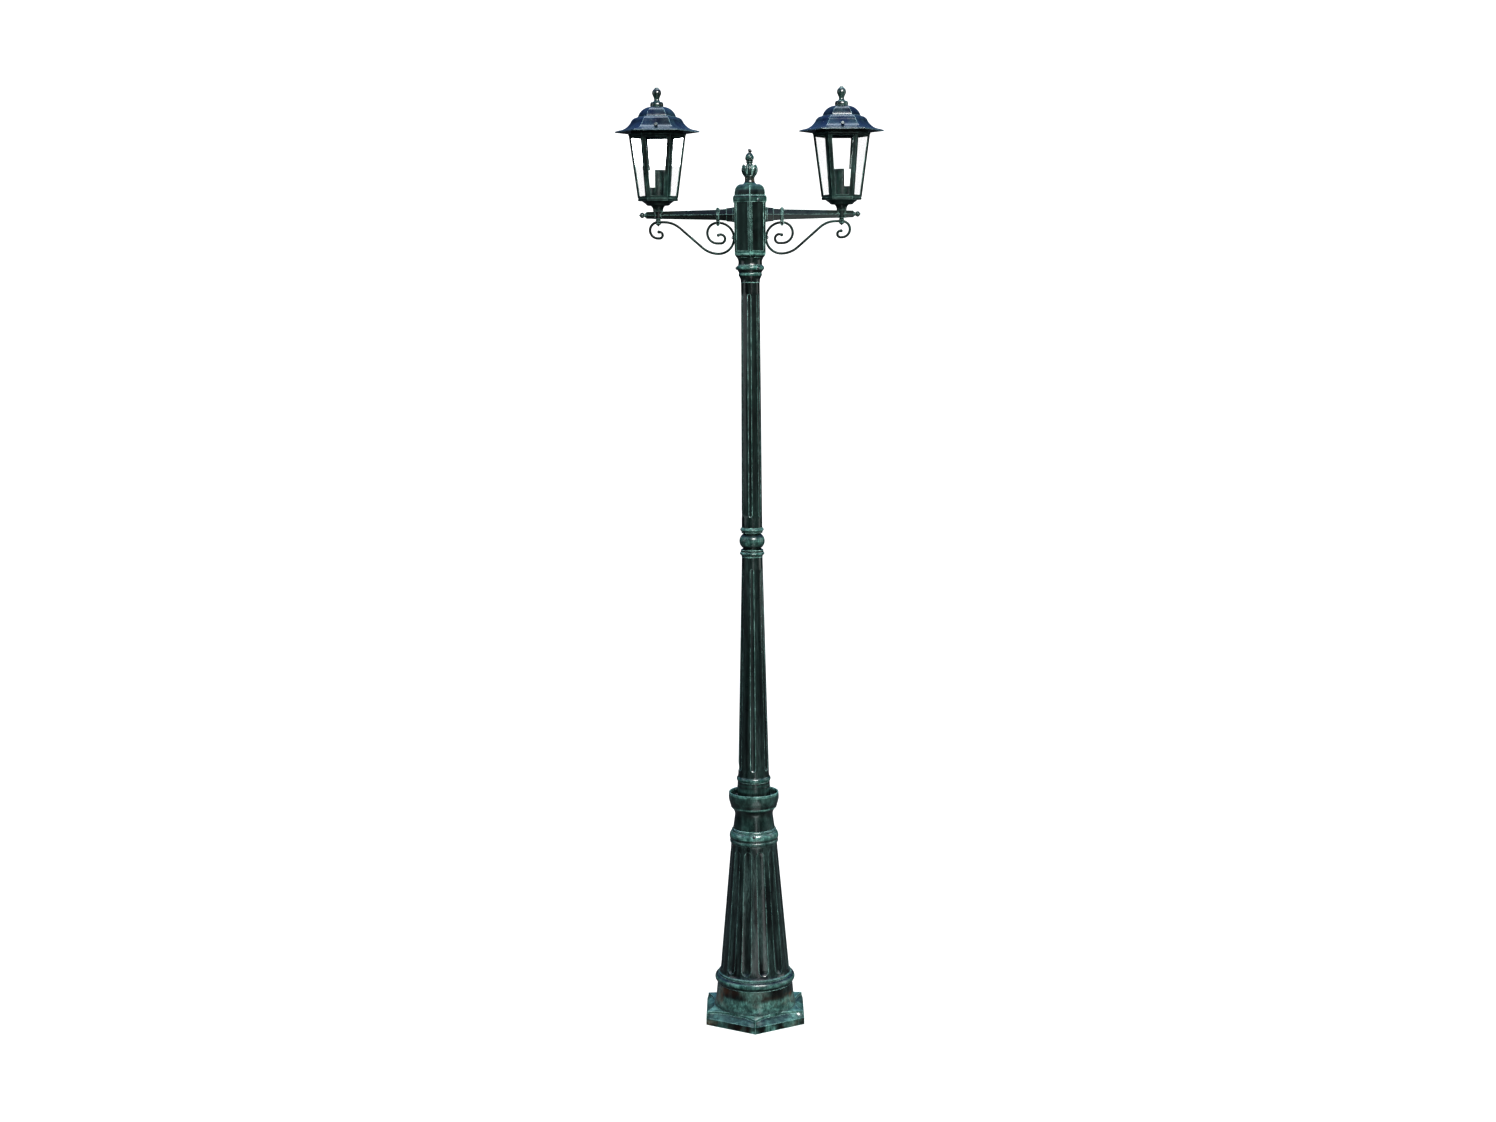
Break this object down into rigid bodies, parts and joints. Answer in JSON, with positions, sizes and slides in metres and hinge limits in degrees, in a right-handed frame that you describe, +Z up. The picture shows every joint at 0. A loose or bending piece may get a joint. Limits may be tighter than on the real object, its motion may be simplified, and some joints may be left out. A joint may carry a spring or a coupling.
{
  "type": "street lamp post",
  "caption": "Garden lamp post with a fluted column on a six-sided foot and a lantern on each scrolled side arm, with lift-off roofs.",
  "frame": {"origin": "centre of the foot's underside, on the post's axis", "axes": "+Z up the post, +X along the right arm, -Y towards the front of the post"},
  "size_m": [0.6722, 0.2954, 2.4],
  "materials": {
    "cast_body": "near-black green enamel on cast aluminium, brushed verdigris on raised edges",
    "cast_roof": "semi-gloss blue-black enamel on cast aluminium",
    "fastener": "zinc-plated steel, dulled",
    "pane": "clear glass",
    "sleeve": "near-black green enamel on a drawn aluminium tube",
    "socket": "white glazed",
    "contact": "plain brass",
    "label": "blank matt sticker",
    "cable": "black sheath",
    "core": "insulated single cores",
    "block": "moulded terminal block"
  },
  "bodies": {
    "post": {"base_foot": "cast_body", "base_pedestal": "cast_body", "base_cup_neck": "cast_body", "lower_shaft": "cast_body", "mid_collar": "cast_body", "upper_shaft": "cast_body", "head_capital": "cast_body", "head_box": "cast_body", "foot_screws": "fastener", "post_set_screws": "fastener", "head_screws": "fastener", "arm_screws": "fastener", "scroll_screws": "fastener", "scroll_spacers": "cast_body", "scroll_drops": "cast_body", "nipple_nuts": "fastener", "terminal_block": "block", "earth_screw": "fastener", "riser_cable": "cable", "inlet_connector": "cable", "arm_left": "cast_body", "arm_tip_left": "cast_body", "arm_strap_left": "cast_body", "scroll_left": "cast_body", "lantern_nipple_left": "fastener", "lantern_tray_left": "cast_body", "lantern_frame_left": "cast_body", "lantern_glass_left": "pane", "holder_sleeve_left": "sleeve", "holder_label_left": "label", "lamp_socket_left": "socket", "socket_contacts_left": "contact", "arm_leads_left": "core", "arm_right": "cast_body", "arm_tip_right": "cast_body", "arm_strap_right": "cast_body", "scroll_right": "cast_body", "lantern_nipple_right": "fastener", "lantern_tray_right": "cast_body", "lantern_frame_right": "cast_body", "lantern_glass_right": "pane", "holder_sleeve_right": "sleeve", "holder_label_right": "label", "lamp_socket_right": "socket", "socket_contacts_right": "contact", "arm_leads_right": "core"},
    "head_cap": {"head_cap": "cast_body", "head_finial": "cast_body", "head_cap_screw": "fastener"},
    "roof_left": {"roof_left": "cast_roof", "roof_finial_left": "cast_roof"},
    "roof_screw_1_left": {"roof_screw_1_left": "fastener"},
    "roof_screw_2_left": {"roof_screw_2_left": "fastener"},
    "roof_screw_3_left": {"roof_screw_3_left": "fastener"},
    "roof_right": {"roof_right": "cast_roof", "roof_finial_right": "cast_roof"},
    "roof_screw_1_right": {"roof_screw_1_right": "fastener"},
    "roof_screw_2_right": {"roof_screw_2_right": "fastener"},
    "roof_screw_3_right": {"roof_screw_3_right": "fastener"}
  },
  "joints": [
    {"name": "head_cap_lift", "type": "slide", "parent": "post", "child": "head_cap", "axis": [0, 0, 1], "range_m": [0, 0.08]},
    {"name": "roof_left_lift", "type": "slide", "parent": "post", "child": "roof_left", "axis": [0, 0, 1], "range_m": [0, 0.15]},
    {"name": "roof_screw_1_left_turn", "type": "hinge", "parent": "roof_left", "child": "roof_screw_1_left", "pos_m": [-0.23, -0.07, 2.3065], "axis": [0, -1, 0], "range_deg": [0, 360]},
    {"name": "roof_screw_2_left_turn", "type": "hinge", "parent": "roof_left", "child": "roof_screw_2_left", "pos_m": [-0.29062, 0.035, 2.3065], "axis": [-0.866, 0.5, 0], "range_deg": [0, 360]},
    {"name": "roof_screw_3_left_turn", "type": "hinge", "parent": "roof_left", "child": "roof_screw_3_left", "pos_m": [-0.16938, 0.035, 2.3065], "axis": [0.866, 0.5, 0], "range_deg": [0, 360]},
    {"name": "roof_right_lift", "type": "slide", "parent": "post", "child": "roof_right", "axis": [0, 0, 1], "range_m": [0, 0.15]},
    {"name": "roof_screw_1_right_turn", "type": "hinge", "parent": "roof_right", "child": "roof_screw_1_right", "pos_m": [0.23, -0.07, 2.3065], "axis": [0, -1, 0], "range_deg": [0, 360]},
    {"name": "roof_screw_2_right_turn", "type": "hinge", "parent": "roof_right", "child": "roof_screw_2_right", "pos_m": [0.29062, 0.035, 2.3065], "axis": [0.866, 0.5, 0], "range_deg": [0, 360]},
    {"name": "roof_screw_3_right_turn", "type": "hinge", "parent": "roof_right", "child": "roof_screw_3_right", "pos_m": [0.16938, 0.035, 2.3065], "axis": [-0.866, 0.5, 0], "range_deg": [0, 360]}
  ]
}
